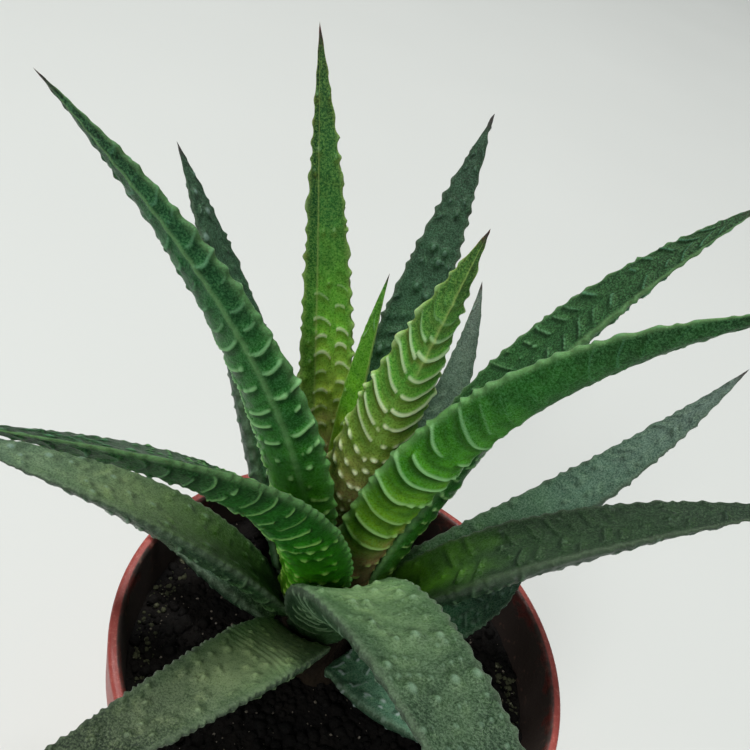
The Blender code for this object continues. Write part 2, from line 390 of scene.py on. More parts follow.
def scattered(s, across, spacing, size, seed, stretch=1.0, chance=0.6):
    """Rounded lumps strewn over a face, one to a cell at most: (height 0 to 1)."""
    u, v = s / (spacing * stretch), across / spacing
    base_u, base_v = np.floor(u).astype(np.int64), np.floor(v).astype(np.int64)
    height = np.zeros(s.shape)
    for du in (-1, 0, 1):
        for dv in (-1, 0, 1):
            cu, cv = base_u + du, base_v + dv
            at_u = cu + 0.5 + 0.7 * (lattice(cu, cv, 0, seed) - 0.5)
            at_v = cv + 0.5 + 0.7 * (lattice(cu, cv, 1, seed) - 0.5)
            keep = lattice(cu, cv, 2, seed) < chance
            wide = size * (0.7 + 0.6 * lattice(cu, cv, 3, seed))
            far = ((u - at_u) * spacing * stretch / (wide * stretch**0.5)) ** 2
            far = far + ((v - at_v) * spacing / wide) ** 2
            height = np.maximum(height, keep * np.exp(-far))
    return height


def always(value):
    return lambda s: value + 0 * s


def ramp(low_mm, high_mm, low_value, high_value):
    return lambda s: low_value + (high_value - low_value) * smooth_step(low_mm, high_mm, s)


def leaf_skin(name, look, stem_points):
    """The fine skin of one leaf, from its packed rings and its pattern."""
    seat, rings, tip = leaf_rings(name, stem_points)
    rows, sides, seed = look["rows"], look["sides"], look["seed"]
    middles = np.vstack([seat, rings.mean(axis=1), tip])
    along = np.concatenate([[0], np.cumsum(np.linalg.norm(np.diff(middles, axis=0), axis=1))])
    length = along[-1]
    control = np.concatenate([np.tile(seat, (1, RING, 1)), rings, np.tile(tip, (1, RING, 1))])
    ends = 0.5 - 0.5 * np.cos(np.linspace(0, math.pi, rows))
    even = np.linspace(0, 1, rows)
    stations = length * (0.12 * ends + 0.88 * even)[1:-1]
    # The rounded seat is read ring by ring; past it the spline takes over
    past_seat = control[1:].reshape(len(along) - 1, -1)
    smooth = spline(along[1:], past_seat, np.maximum(stations, along[1]))
    near_seat = np.clip(stations / along[1], 0, 1)[:, None]
    smooth = control[0].reshape(1, -1) * (1 - near_seat) + smooth * near_seat
    skin = upsample(smooth.reshape(len(stations), RING, 3), sides)
    angle = angles(sides)
    x = np.broadcast_to(np.cos(angle), skin.shape[:2])
    s = np.broadcast_to((stations / MM)[:, None], skin.shape[:2])
    t = s * MM / length
    side = skin[:, :1] - skin[:, sides // 2 : sides // 2 + 1]
    width = np.linalg.norm(side, axis=2, keepdims=True)
    side = side / width
    half = np.broadcast_to(width[..., 0] / 2 / MM, x.shape)
    ahead = np.gradient(skin, axis=0)
    round_it = np.roll(skin, -1, axis=1) - np.roll(skin, 1, axis=1)
    normal = np.cross(round_it, ahead)
    normal /= np.maximum(np.linalg.norm(normal, axis=2, keepdims=True), 1e-12)
    outward = np.einsum("ijk,ijk->ij", normal, skin - skin.mean(axis=1, keepdims=True))
    normal *= np.where(outward.mean() < 0, -1.0, 1.0)

    upper = np.broadcast_to(np.sin(angle) > 0, x.shape)
    body = np.clip(half / FULL_RELIEF_HALF, 0, 1)
    lift, pale, hollow, swell = (np.zeros(x.shape) for _ in range(4))
    for mask, key in ((upper, "upper"), (~upper, "lower")):
        spec = look[key]
        rows_seed = seed + (0 if key == "upper" else 50)
        height, light, dark, plump = ridge_rows(s, x - look["keel_at"], half, spec, rows_seed)
        if spec.get("lumps"):
            spacing, size, stretch, chance, power = spec["lumps"]
            lump = 1.3 * power * scattered(s, x * half, spacing, size, seed + 77, stretch, chance)
            lump = lump * smooth_step(1.0, 0.86, np.abs(x))
            height = np.maximum(height, lump)
            # The lumps' peaks turn pale, partly their own paler tips and partly a painted glint;
            # whole lumps also take painted highlight
            light = np.maximum(light, np.clip(lump, 0, 1) ** 2 * spec.get("lump_pale", 0.6))
            plump = np.maximum(plump, 0.8 * lump)
            # Painted shade just below each lump
            below = scattered(s + 1.3 * size, x * half, spacing, size, seed + 77, stretch, chance)
            dark = np.maximum(dark, power * np.clip(below - lump, 0, 1))
        if spec.get("combed"):
            step, power, start, end = spec["combed"]
            comb = 0.5 + 0.5 * np.cos(FULL_TURN * (s - 2.2 * np.abs(x) ** 2) / step)
            comb = comb * power * smooth_step(start - 4, start, s) * smooth_step(end + 6, end, s)
            comb = comb * (0.6 + 0.4 * noise(s * 0.8, x * 2, 0, seed + 31))
            height = np.maximum(height, comb)
        lift = np.where(mask, height * spec["amount"], lift)
        pale, hollow = np.where(mask, light, pale), np.where(mask, dark, hollow)
        swell = np.where(mask, plump, swell)

    # Teeth along both margins, and small ones along the keel below
    teeth = look["teeth"]
    edge = bell(1 - np.abs(x), TOOTHED_EDGE)
    fold_at, fold_line = look["fold"]
    # Painted shade over the upper face past the fold line, fading in from 15 to 30 % along the leaf
    folded = np.where(upper, smooth_step(fold_at - 0.03, fold_at + 0.03, x), 0)
    folded = folded * smooth_step(0.15, 0.3, t)
    fold = np.where(upper, bell(x - fold_at, FOLD_WIDTH), 0) * fold_line
    which = np.where(x > 0, 1, 0)
    wobble = noise(s / teeth.pitch * 0.9, which * 7.0, 0, seed + 21)
    phase = s / teeth.pitch + 0.9 * wobble + 0.4 * which
    cog = phase - np.floor(phase) - 0.5
    tooth_size = 0.45 + 0.55 * lattice(np.floor(phase).astype(np.int64), which, 0, seed + 2)
    tooth = bell(cog * teeth.pitch, teeth.width) * tooth_size
    tooth = tooth * smooth_step(0.02, 0.12, t) * edge
    off_keel = np.abs(x - look["keel_at"])
    present = smooth_step(*look["keel_from"], t) * (~upper)
    for place in look["cogs_at"]:
        row_of_cogs = bell(x - place, COG_WIDTH) * (~upper) * tooth_size
        row_of_cogs = row_of_cogs * bell(cog * teeth.pitch, teeth.width)
        lift = np.maximum(lift, 0.8 * row_of_cogs * teeth.amount)
        # The cogs take painted highlight too
        swell = np.maximum(swell, 0.6 * row_of_cogs)
    keel_line = bell(off_keel, KEEL_WIDTH) * present
    crease = np.exp(-off_keel / 0.22) * present
    line = np.maximum(edge * look["margin_line"], keel_line * look["keel_line"])
    line = np.maximum(line, fold)

    fine = cloud(skin[..., 0] / MM * 0.5, skin[..., 1] / MM * 0.5, skin[..., 2] / MM * 0.5, seed, 3)
    lift = lift * body + 0.10 * fine * body
    lift = lift + 0.35 * fold * body
    lift = lift + look["keel_rise"] * crease * body * (1 + 0.15 * np.cos(FULL_TURN * phase))
    skin = skin + normal * (lift * MM)[..., None]
    out = np.sign(x) * teeth.amount * tooth * np.clip(half / FULL_TEETH_HALF, 0.12, 1)
    skin = skin + side * (out * MM)[..., None] + normal * (0.3 * np.abs(out) * MM)[..., None]

    mesh = closed_tube(name + "_skin", skin, seat, tip)
    # Each layer, then its number at the seat and at the tip
    shares = smooth_step(-0.06, 0.06, np.sin(angle))[None].repeat(len(s), 0)
    crests = np.clip(np.maximum(pale, tooth * teeth.pale), 0, 1)
    layers = {"along": (t, 0, 1), "upper": (shares, 0.5, 0.5)}
    layers.update(across=(x, 0, 0), pale=(crests, 0, 0), hollow=(hollow, 0, 0), line=(line, 0, 0))
    layers.update(swell=(swell, 0, 0), folded=(folded, 0, 0))
    give(mesh, **{key: np.append(grid.ravel(), both) for key, (grid, *both) in layers.items()})
    return mesh


# ---------- materials

# Noise scales on the leaves, in waves to a metre
PATCH_SCALE, MOTTLE_SCALE, GRAIN_SCALE, FINEST_SCALE = 150, 620, 3000, 5200
# Tints that the leaf's colour is multiplied by; the fold and flank tints are painted shade and the
# swell tint is painted highlight
FOLD_SHADE = (0.30, 0.45, 0.55)
FLANK_SHADE = (0.55, 0.68, 0.62)
GRAIN_SHADE = (0.36, 0.42, 0.36)
MOTTLE_SHADE = (0.50, 0.60, 0.52)
SWELL_LIGHT = (1.9, 1.75, 1.5)
DRY_TIP = (0.045, 0.040, 0.036)
BRICK_DARK, BRICK_LIGHT = (0.27, 0.042, 0.034), (0.38, 0.066, 0.052)
BRICK_WORN, BRICK_DUST = (0.62, 0.22, 0.17), (0.20, 0.10, 0.07)
SOILED_BRICK, DRIED_PEAT = (0.050, 0.011, 0.008), (0.022, 0.014, 0.010)


class Nodes:
    """A small helper that lays out one material's nodes."""

    def __init__(self, name):
        self.material = bpy.data.materials.new(name)
        self.material.use_nodes = True
        self.tree = self.material.node_tree
        self.shader = self.tree.nodes["Principled BSDF"]

    def add(self, kind, **settings):
        node = self.tree.nodes.new(kind)
        for key, value in settings.items():
            setattr(node, key, value)
        return node

    def join(self, out, into):
        self.tree.links.new(out, into)

    def feed(self, value, socket):
        """Gives a socket a number, a colour or another node's output."""
        if isinstance(value, (int, float)):
            socket.default_value = value
        elif isinstance(value, tuple):
            socket.default_value = (*value, 1.0)
        else:
            self.join(value, socket)

    def read(self, name):
        return self.add("ShaderNodeAttribute", attribute_name=name).outputs["Fac"]

    def spot(self):
        return self.add("ShaderNodeTexCoord").outputs["Object"]

    def noise(self, scale, detail=3.0, roughness=0.55):
        made = self.add("ShaderNodeTexNoise")
        made.inputs["Scale"].default_value = scale
        made.inputs["Detail"].default_value = detail
        made.inputs["Roughness"].default_value = roughness
        self.join(self.spot(), made.inputs["Vector"])
        return made.outputs["Fac"]

    def cells(self, scale):
        made = self.add("ShaderNodeTexVoronoi")
        made.inputs["Scale"].default_value = scale
        self.join(self.spot(), made.inputs["Vector"])
        return made.outputs["Distance"]

    def math(self, operation, first, second):
        made = self.add("ShaderNodeMath", operation=operation)
        self.feed(first, made.inputs[0])
        self.feed(second, made.inputs[1])
        return made.outputs[0]

    def times(self, first, second):
        return self.math("MULTIPLY", first, second)

    def scaled(self, value, low, high, to_low=0.0, to_high=1.0):
        made = self.add("ShaderNodeMapRange")
        for socket, number in zip(made.inputs[1:5], (low, high, to_low, to_high)):
            socket.default_value = number
        self.join(value, made.inputs["Value"])
        return made.outputs["Result"]

    def colours(self, value, stops):
        made = self.add("ShaderNodeValToRGB")
        elements = made.color_ramp.elements
        while len(elements) < len(stops):
            elements.new(0.5)
        for element, (place, colour) in zip(elements, stops):
            element.position = place
            element.color = (*colour, 1.0)
        self.join(value, made.inputs["Fac"])
        return made.outputs["Color"]

    def mix(self, amount, first, second, kind="MIX"):
        made = self.add("ShaderNodeMix", data_type="RGBA", blend_type=kind)
        for value, socket in zip((amount, first, second), (made.inputs[k] for k in (0, 6, 7))):
            self.feed(value, socket)
        return made.outputs[2]

    def tint(self, amount, first, second):
        """Multiplies a colour by another, as far as the amount says."""
        return self.mix(amount, first, second, "MULTIPLY")

    def bump(self, height, strength, distance):
        made = self.add("ShaderNodeBump")
        made.inputs["Strength"].default_value = strength
        made.inputs["Distance"].default_value = distance
        self.join(height, made.inputs["Height"])
        self.join(made.outputs["Normal"], self.shader.inputs["Normal"])

    def set(self, **values):
        for name, value in values.items():
            socket = name.replace("_", " ").title().replace("Ior", "IOR")
            self.feed(value, self.shader.inputs[socket])


def leaf_material(name, tone):
    """Waxy leaf skin: greens that change along the leaf, pale ridges, painted shade in the hollows,
    a dry tip.
    """
    n = Nodes(name)
    along = n.read("along")
    patch = n.noise(PATCH_SCALE, 4, 0.62)
    shifted = n.math("ADD", along, n.scaled(patch, 0.3, 0.7, -0.05, 0.05))
    skin = n.colours(shifted, tone["lower"])
    face = n.colours(shifted, tone["upper"])
    skin = n.mix(n.read("upper"), skin, face)
    # Painted shade on the upper face past the fold
    skin = n.tint(n.times(n.read("folded"), 0.8), skin, FOLD_SHADE)
    # Broad light and dark areas, painted shade on the flanks, then fine grain and mottling
    skin = n.tint(n.scaled(patch, 0.40, 0.66, 0.0, 0.7), skin, tone["shade"])
    across = n.math("ABSOLUTE", n.read("across"), 0.0)
    skin = n.tint(n.scaled(across, 0.45, 0.95, 0.0, tone["flank"]), skin, FLANK_SHADE)
    grain = n.noise(GRAIN_SCALE, 3, 0.75)
    skin = n.mix(n.scaled(grain, 0.46, 0.66, 0.0, 0.55), skin, tone["speck"])
    skin = n.tint(n.scaled(grain, 0.52, 0.38, 0.0, 0.8), skin, GRAIN_SHADE)
    mottle = n.noise(MOTTLE_SCALE, 4, 0.7)
    skin = n.tint(n.scaled(mottle, 0.50, 0.64, 0.0, 0.5), skin, MOTTLE_SHADE)
    # What the relief does: painted highlight on swellings, painted shade in hollows, pale crests
    # (on lumps partly painted glints), pale margin and keel
    skin = n.tint(n.times(n.read("swell"), 0.45), skin, SWELL_LIGHT)
    skin = n.mix(n.times(n.read("hollow"), tone["hollow"]), skin, tone["dark"])
    crest = n.colours(shifted, tone["crest"])
    skin = n.mix(n.scaled(n.read("pale"), 0.18, 0.62, 0.0, tone["pale"]), skin, crest)
    skin = n.mix(n.times(n.read("line"), 0.5), skin, tone["edge"])
    skin = n.mix(n.scaled(along, 0.955, 0.985), skin, DRY_TIP)
    rough = n.scaled(n.noise(700, 2, 0.6), 0.3, 0.7, tone["gloss"], tone["gloss"] + 0.16)
    rough = n.math("SUBTRACT", rough, n.times(n.read("swell"), 0.10))
    n.set(base_color=skin, roughness=rough, subsurface_weight=tone["glow"], subsurface_scale=0.0015)
    n.set(specular_ior_level=tone["specular"])
    n.bump(n.math("ADD", grain, n.noise(FINEST_SCALE, 2, 0.6)), 0.7, 0.00018)
    return n.material


def pot_material():
    """Satin brick-red plastic, worn paler on the lip, with painted shade over its inside and dried
    peat smeared down it.
    """
    n = Nodes("brick_red_plastic")
    place = n.add("ShaderNodeSeparateXYZ")
    n.join(n.spot(), place.inputs[0])
    blotch = n.noise(90, 4, 0.6)
    plastic = n.mix(n.scaled(blotch, 0.3, 0.7), BRICK_DARK, BRICK_LIGHT)
    fine = n.noise(1500, 3, 0.7)
    plastic = n.mix(n.scaled(fine, 0.52, 0.72, 0.0, 0.5), plastic, BRICK_WORN)
    # Less peat clings to the inside near the lip
    inside = n.read("inside")
    low_down = n.scaled(place.outputs["Z"], 0.064, 0.0746, 0.46, 0.06)
    grime = n.math("ADD", n.noise(240, 5, 0.65), low_down)
    smear = n.times(n.scaled(grime, 0.46, 0.62, 0.0, 0.96), inside)
    # Painted shade: the whole inside of the wall turns to a dark copy of the brick red
    plastic = n.mix(n.times(inside, 0.85), plastic, SOILED_BRICK)
    plastic = n.mix(smear, plastic, DRIED_PEAT)
    plastic = n.mix(n.scaled(n.noise(420, 4, 0.7), 0.60, 0.75, 0.0, 0.5), plastic, BRICK_DUST)
    rough = n.math("ADD", n.scaled(blotch, 0.3, 0.7, 0.36, 0.52), n.times(smear, 0.35))
    n.set(base_color=plastic, roughness=rough)
    n.bump(n.math("ADD", fine, n.times(smear, 2.0)), 0.25, 0.0002)
    return n.material


def earth_material(name, dark, mid, light, share=0.72):
    """Matt crumbly stuff in three tones; above the share, its fine noise is light."""
    n = Nodes(name)
    broad, fine = n.noise(160, 4, 0.65), n.noise(900, 4, 0.7)
    colour = n.mix(n.scaled(broad, 0.35, 0.65), dark, mid)
    colour = n.mix(n.scaled(fine, share, share + 0.08, 0.0, 0.9), colour, light)
    rough = n.scaled(fine, 0.3, 0.7, 0.80, 0.98)
    n.set(base_color=colour, roughness=rough, specular_ior_level=0.25)
    n.bump(n.math("ADD", fine, n.cells(1300)), 0.6, 0.0004)
    return n.material


# ---------- leaf looks

# A band of ridge rows: where it starts and ends across the face (-1 to 1), how far its rows bow and
# slant in millimetres, and how strong they are
Band = namedtuple("Band", "start end bow slant strength")
# Lumps: millimetres between and across them, how drawn out along the leaf, share kept, strength
Lumps = namedtuple("Lumps", "spacing size stretch chance power")
# Fine parallel ridges: millimetres apart, strength, and where along the leaf they start and end
Comb = namedtuple("Comb", "step power start end")
# Marginal teeth: millimetres apart, height and width, and how pale they are
Teeth = namedtuple("Teeth", "pitch amount width pale", defaults=(3.2, 0.7, 0.75, 0.35))

TWO_SMILES = (Band(-1.0, 0.0, 1.3, 0.0, 1.0), Band(0.0, 1.0, 1.3, 0.0, 1.0))
CHEVRON = (Band(-1.0, 0.0, 0.0, 1.0, 0.8), Band(0.0, 1.0, 0.0, -1.0, 0.8))


def face(pitch, amount, bands, dots=0.0, gaps=0.25, fade=1.0, **more):
    """One face of a leaf: row spacing and ridge height in millimetres, its bands, the share of rows
    broken into dots, the share left out, and a fade along the leaf."""
    made = dict(pitch=pitch, amount=amount, bands=bands, gaps=gaps, short=0.6, light=1.0)
    made.update(more)
    for key, value in (("dots", dots), ("fade", fade)):
        made[key] = value if callable(value) else always(value)
    return made


def look(seed, upper, lower, teeth=Teeth(), rows=260, sides=96, **more):
    """A leaf's whole pattern; rows and sides are the skin's points along it and round it."""
    made = dict(seed=seed, upper=upper, lower=lower, teeth=teeth, rows=rows, sides=sides)
    made.update(margin_line=0.6, keel_line=0.7, keel_from=(0.15, 0.35), keel_rise=0.7, keel_at=0.0)
    made.update(fold=(2.0, 0.0), cogs_at=())
    made.update(more)
    return made


PLAIN_BELOW = face(3.4, 0.4, TWO_SMILES, dots=0.3, gaps=0.3)
FINE_BELOW = face(3.2, 0.4, TWO_SMILES, dots=0.3, gaps=0.3)


def hidden(seed):
    """A low leaf under the others: the same relief at a coarser grain."""
    upper = face(3.6, 0.30, CHEVRON, dots=0.6, gaps=0.4, lumps=Lumps(3.0, 0.8, 1.2, 0.5, 0.6))
    lower = face(3.4, 0.35, TWO_SMILES, dots=0.3, gaps=0.3)
    return look(seed, upper, lower, rows=150, sides=60)


def small_front(seed, pitch, stretch):
    """A short leaf that lies low over the peat."""
    upper = face(3.0, 0.35, CHEVRON, dots=0.5, gaps=0.3, lumps=Lumps(2.4, 0.6, stretch, 0.5, 0.8))
    return look(seed, upper, FINE_BELOW, Teeth(pitch, 0.45, 0.5, 0.3), rows=180, sides=80)


LOOKS = {
    "leaf_heart": look(
        3,
        face(4.0, 0.18, CHEVRON, dots=0.8, gaps=0.5),
        face(3.4, 0.30, TWO_SMILES, dots=0.4, gaps=0.3),
        Teeth(3.5, 0.15, 0.7, 0.2),
        rows=200, sides=56, margin_line=1.0, keel_line=0.5, keel_rise=0.3,
    ),
    "leaf_inner_front": look(
        5,
        face(3.4, 0.3, CHEVRON, dots=0.5, gaps=0.4),
        face(
            3.5, 0.70, (Band(-1.0, -0.20, 0.4, -2.6, 1.0), Band(-0.28, 1.0, 1.6, 0.9, 1.0)),
            dots=ramp(27, 39, 0.95, 0.12), gaps=0.10, fade=ramp(50, 58, 1.0, 0.30),
            dot_pitch=1.6, line=0.46, steep=0.42, short=0.25,
        ),
        Teeth(3.3, 0.75, 0.8, 0.6),
        rows=300, sides=112, keel_from=(0.60, 0.68), keel_line=1.0, keel_rise=0.5,
    ),
    "leaf_centre": look(
        8,
        face(
            3.7, 0.42, (Band(-1.0, -0.30, -0.8, 0.3, 1.0), Band(-0.22, 0.70, -1.2, 0.3, 0.9)),
            dots=ramp(18, 34, 0.9, 0.15), gaps=0.22, fade=ramp(44, 58, 1.0, 0.25),
            line=0.42, steep=0.36, lumps=Lumps(2.6, 0.55, 1.8, 0.5, 0.8), lump_pale=0.35,
        ),
        face(3.4, 0.38, TWO_SMILES, dots=0.4, gaps=0.3, lumps=Lumps(2.6, 0.7, 1.2, 0.4, 0.8)),
        Teeth(3.3, 0.50, 0.75, 0.35),
        rows=300, sides=104, margin_line=0.5, fold=(0.45, 0.9),
    ),
    "leaf_upper_left": look(
        11,
        face(3.6, 0.3, CHEVRON, dots=0.5, gaps=0.4),
        face(
            3.7, 0.66, (Band(-1.30, -0.02, 1.9, -0.3, 1.0), Band(0.02, 0.52, 0.9, 0.2, 1.0)),
            dots=ramp(26, 44, 0.62, 0.26), gaps=0.13, fade=ramp(34, 84, 1.0, 0.42),
            steep=0.36, line=0.38, short=0.5,
        ),
        Teeth(3.3, 0.75, 0.9, 0.25),
        rows=300, sides=112, keel_at=0.50, keel_line=0.9, keel_rise=0.9, cogs_at=(-0.62,),
    ),
    "leaf_arching_right": look(
        14,
        face(3.6, 0.35, CHEVRON, dots=0.4, gaps=0.35),
        face(
            4.5, 0.80, (Band(-1.0, 0.45, 1.9, -1.1, 1.0), Band(0.35, 1.0, 0.9, 0.6, 0.8)),
            dots=ramp(14, 34, 0.45, 0.30), gaps=0.16, fade=ramp(36, 60, 1.0, 0.34),
            line=0.42, steep=0.46, gentle=1.4, short=0.35, fray=0.35,
        ),
        Teeth(3.2, 0.65, 0.8, 0.40),
        rows=300, sides=112, keel_line=0.0, keel_rise=0.0, margin_line=0.9,
    ),
    "leaf_left_arching": look(
        17,
        face(3.2, 0.35, CHEVRON, dots=0.5, gaps=0.3, lumps=Lumps(3.4, 0.75, 1.3, 0.5, 0.7)),
        face(
            3.4, 0.58, (Band(-1.0, 0.1, 1.0, -1.8, 1.0), Band(0.0, 1.0, 1.2, 0.4, 1.0)),
            dots=ramp(22, 40, 0.75, 0.2), gaps=0.2, fade=ramp(56, 76, 1.0, 0.6),
            light=0.75, dot_pitch=1.8,
        ),
        Teeth(2.2, 0.5, 0.55, 0.15),
        rows=300, sides=112, keel_line=0.2, keel_rise=0.5,
    ),
    "leaf_upper_right": look(
        20,
        face(
            3.4, 0.50, (Band(-1.0, 0.0, 0.4, 1.5, 1.0), Band(0.0, 1.0, 0.4, -1.5, 1.0)),
            dots=0.3, gaps=0.35, light=0.6,
        ),
        face(3.2, 0.45, TWO_SMILES, dots=0.5, gaps=0.3, lumps=Lumps(2.8, 0.7, 1.2, 0.5, 0.8)),
        Teeth(3.2, 0.55, 0.8, 0.25),
        rows=280, sides=104, margin_line=0.7,
    ),
    "leaf_back_left": look(
        23,
        face(
            3.4, 0.40, CHEVRON, dots=0.6, gaps=0.45, light=0.4, lumps=Lumps(3.0, 0.8, 1.3, 0.5, 0.9)
        ),
        PLAIN_BELOW,
        Teeth(3.2, 0.5, 0.8, 0.15),
    ),
    "leaf_back": look(
        26,
        face(
            3.4, 0.6, CHEVRON, dots=0.7, gaps=0.5, light=0.5,
            lumps=Lumps(2.6, 0.62, 1.9, 0.6, 1.1), lump_pale=0.30,
        ),
        PLAIN_BELOW,
        Teeth(3.4, 0.6, 0.9, 0.25),
    ),
    "leaf_back_short": look(
        29,
        face(3.6, 0.15, CHEVRON, dots=0.7, gaps=0.6),
        PLAIN_BELOW,
        Teeth(3.0, 0.25, 0.7, 0.1),
        rows=200, sides=72,
    ),
    "leaf_right_back": look(
        32,
        face(
            3.8, 0.24, CHEVRON, dots=0.6, gaps=0.55, light=0.4,
            lumps=Lumps(2.8, 0.65, 1.5, 0.5, 0.9), lump_pale=0.4,
        ),
        PLAIN_BELOW,
        Teeth(3.0, 0.4, 0.75, 0.15),
        rows=240, sides=88,
    ),
    "leaf_right_level": look(
        35,
        face(
            3.8, 0.6, (Band(-1.0, 0.05, 0.3, 1.0, 0.9), Band(0.0, 1.0, 0.3, -1.0, 0.7)),
            dots=0.25, gaps=0.45, light=0.35, lumps=Lumps(3.4, 0.7, 1.3, 0.35, 0.6),
        ),
        face(3.4, 0.4, TWO_SMILES, dots=0.3, gaps=0.3, lumps=Lumps(2.8, 0.7, 1.2, 0.5, 0.8)),
        Teeth(2.8, 0.5, 0.7, 0.2),
        rows=280, sides=104,
    ),
    "leaf_left_low": look(
        38,
        face(
            3.8, 0.34, CHEVRON, dots=0.6, gaps=0.5, light=0.4, lumps=Lumps(2.8, 0.8, 1.3, 0.5, 0.8)
        ),
        PLAIN_BELOW,
        Teeth(2.4, 0.4, 0.6, 0.15),
        rows=240, sides=96,
    ),
    "leaf_front": look(
        41,
        face(
            3.2, 0.75, (Band(-1.0, 0.0, 0.8, 0.6, 0.5), Band(0.0, 1.0, 0.8, -0.6, 0.5)),
            dots=ramp(20, 45, 0.3, 0.9), gaps=0.5,
            lumps=Lumps(3.3, 0.85, 1.5, 0.5, 0.85), combed=Comb(1.9, 0.40, 2.0, 34.0),
        ),
        FINE_BELOW,
        Teeth(2.6, 0.5, 0.7, 0.25),
        rows=300, sides=120,
    ),
    "leaf_front_left": look(
        44,
        face(
            3.4, 0.5, CHEVRON, dots=0.8, gaps=0.6, light=0.4,
            lumps=Lumps(2.4, 0.6, 1.3, 0.45, 0.7), combed=Comb(1.4, 0.5, 2.0, 26.0),
        ),
        FINE_BELOW,
        Teeth(1.6, 0.4, 0.42, 0.2),
        rows=300, sides=104,
    ),
    "leaf_front_under": small_front(47, 1.8, 1.6),
    "leaf_right_under": small_front(50, 2.0, 1.2),
    "leaf_back_low": hidden(53),
    "leaf_back_left_low": hidden(56),
    "leaf_back_right_low": hidden(59),
}


def stops(*rows):
    """Colours along a leaf, in thousandths: place from seat to tip, then red, green and blue."""
    return [(row[0] / 1000, tuple(part / 1000 for part in row[1:])) for row in rows]


# How a wax sits on any leaf: shares of its effects, then its gloss; the shares for the flanks and
# hollows and the dark colour set painted shade
WAX = {"flank": 0.5, "hollow": 0.85, "pale": 0.85, "glow": 0.0, "gloss": 0.34, "specular": 0.14}
YOUNG = {
    **WAX,
    "lower": stops((50, 170, 85, 45), (260, 170, 130, 35), (420, 130, 260, 30),
            (750, 55, 240, 25), (970, 30, 130, 30)),
    "upper": stops((40, 240, 120, 75), (200, 250, 190, 70), (340, 240, 360, 30),
            (550, 100, 330, 15), (970, 30, 140, 30)),
    "crest": stops((50, 950, 860, 600), (350, 900, 980, 600), (900, 300, 620, 260)),
    "shade": (0.55, 0.70, 0.50),
    "speck": (0.26, 0.46, 0.10),
    "dark": (0.045, 0.055, 0.006),
    "edge": (0.52, 0.68, 0.20),
    "glow": 0.12,
}
GREEN = {
    **WAX,
    "lower": stops((20, 120, 220, 15), (200, 50, 250, 12), (400, 25, 170, 30),
            (700, 15, 100, 42), (970, 20, 60, 35)),
    "upper": stops((20, 140, 200, 20), (200, 50, 170, 20), (550, 25, 90, 30),
            (970, 30, 55, 35)),
    "crest": stops((50, 550, 780, 200), (350, 360, 720, 280), (800, 120, 330, 200)),
    "shade": (0.50, 0.62, 0.60),
    "speck": (0.09, 0.26, 0.10),
    "dark": (0.005, 0.024, 0.006),
    "edge": (0.26, 0.50, 0.20),
    "glow": 0.06,
}
DULL = {
    **WAX,
    "lower": stops((20, 30, 100, 20), (250, 16, 70, 26), (970, 25, 60, 40)),
    "upper": stops((20, 50, 150, 15), (200, 30, 95, 22), (550, 30, 78, 40),
            (970, 35, 60, 42)),
    # The crest colour here is partly the tubercles' own paler tone and partly a painted bluish
    # glint
    "crest": stops((50, 140, 260, 100), (900, 200, 310, 270)),
    "shade": (0.50, 0.60, 0.56),
    "speck": (0.20, 0.29, 0.20),
    "dark": (0.005, 0.016, 0.007),
    "edge": (0.14, 0.19, 0.12),
    "gloss": 0.30,
    "pale": 0.7,
    "specular": 0.20,
    "flank": 0.7,
}


def tone(base, gain=(1.0, 1.0, 1.0), **changes):
    """A set of leaf colours, with its skin colours scaled by a gain."""
    made = {**base, **changes}
    for key in ("lower", "upper"):
        made[key] = [(at, tuple(c * g for c, g in zip(colour, gain))) for at, colour in made[key]]
    return made


